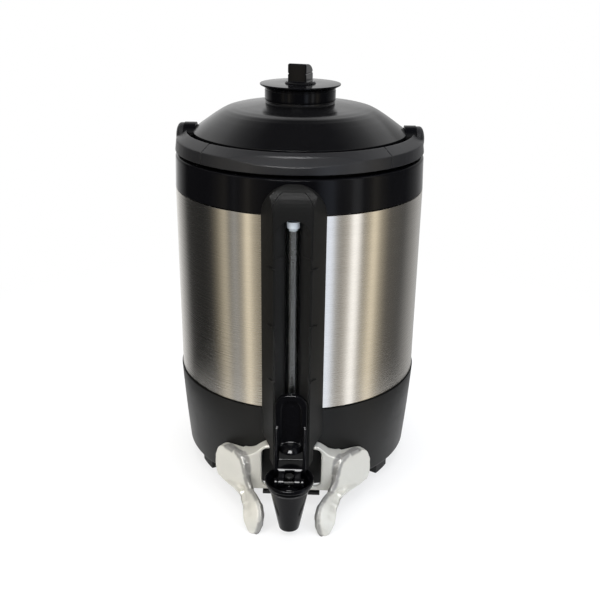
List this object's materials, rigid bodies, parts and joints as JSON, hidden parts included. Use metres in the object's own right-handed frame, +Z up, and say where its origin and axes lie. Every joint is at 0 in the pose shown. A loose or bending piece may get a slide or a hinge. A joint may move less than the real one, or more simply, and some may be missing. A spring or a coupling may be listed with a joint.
{
  "type": "coffee_urn",
  "caption": "Insulated steel coffee server with a bail handle, a domed lid with a screw-off vented cap, a sight gauge and a lift-lever faucet over a cast front stand",
  "frame": {"origin": "on the vessel's axis, at the height of the counter: the middle of the middle foot's lower face", "axes": "+Z is up, -Y is the front with the faucet, +X is the right side as seen from the front, and X=0 is the mirror plane"},
  "size_m": [0.222, 0.2823, 0.3699],
  "materials": {
    "brushed_steel": "horizontally brushed stainless sheet",
    "satin_steel": "satin drawn stainless sheet",
    "screw_steel": "bright plated steel",
    "gloss_black": "glossy black moulding",
    "lid_black": "satin to glossy black moulding",
    "handle_black": "fine textured satin black moulding",
    "matt_black": "matt black moulding",
    "black_rubber": "soft black rubber",
    "pale_rubber": "soft pale silicone",
    "cast_aluminium": "satin cast aluminium with polished edges",
    "clear_glass": "clear tube with thick walls",
    "pale_cap": "pale translucent plastic"
  },
  "bodies": {
    "vessel": {"outer_shell": "brushed_steel", "inner_liner": "satin_steel", "jacket_bottom": "satin_steel", "top_collar": "gloss_black", "base_shell": "matt_black", "base_floor": "matt_black", "floor_screws": "screw_steel", "feet": "black_rubber", "front_stand": "cast_aluminium", "stand_screws": "screw_steel", "stand_clip": "black_rubber", "gauge_housing": "matt_black", "gauge_cover": "matt_black", "gauge_tube": "clear_glass", "gauge_cap": "pale_cap", "gauge_seal": "black_rubber", "gauge_socket": "matt_black", "outlet_pipe": "satin_steel", "outlet_seal": "black_rubber", "valve_body": "gloss_black", "shank_nut": "matt_black", "bonnet": "gloss_black", "spout": "gloss_black", "lever_pin": "matt_black", "valve_spring": "screw_steel", "handle_pins": "screw_steel"},
    "handle": {"handle_bow": "handle_black", "handle_grip": "handle_black", "grip_screws": "screw_steel"},
    "lid": {"lid_dome": "lid_black", "lid_base": "matt_black", "lid_gasket": "black_rubber"},
    "cap": {"fill_cap": "gloss_black", "cap_ring": "black_rubber"},
    "knob": {"cap_knob": "gloss_black", "vent_shutter": "matt_black", "shutter_screw": "screw_steel"},
    "lever": {"faucet_lever": "gloss_black"},
    "stem": {"valve_stem": "matt_black", "seat_cup": "pale_rubber"}
  },
  "joints": [
    {"name": "handle_swing", "type": "hinge", "parent": "vessel", "child": "handle", "pos_m": [0, 0, 0.3062], "axis": [-1, 0, 0], "range_deg": [0, 180]},
    {"name": "lid_lift", "type": "slide", "parent": "vessel", "child": "lid", "axis": [0, 0, 1], "range_m": [0, 0.08]},
    {"name": "cap_lift", "type": "slide", "parent": "lid", "child": "cap", "axis": [0, 0, 1], "range_m": [0, 0.04]},
    {"name": "knob_turn", "type": "hinge", "parent": "cap", "child": "knob", "pos_m": [0, 0, 0.353], "axis": [0, 0, 1], "range_deg": [0, 90]},
    {"name": "lever_pull", "type": "hinge", "parent": "vessel", "child": "lever", "pos_m": [0, -0.156, 0.052], "axis": [1, 0, 0], "range_deg": [0, 25], "stiffness_Nm_per_rad": 0.25, "springref_deg": -11.46},
    {"name": "stem_lift", "type": "slide", "parent": "vessel", "child": "stem", "axis": [0, 0, 1], "range_m": [0, 0.0023], "deforming": ["valve_spring"]}
  ],
  "couplings": [
    {"joint": "stem_lift", "follows": "lever_pull", "m_per_rad": 0.005}
  ]
}
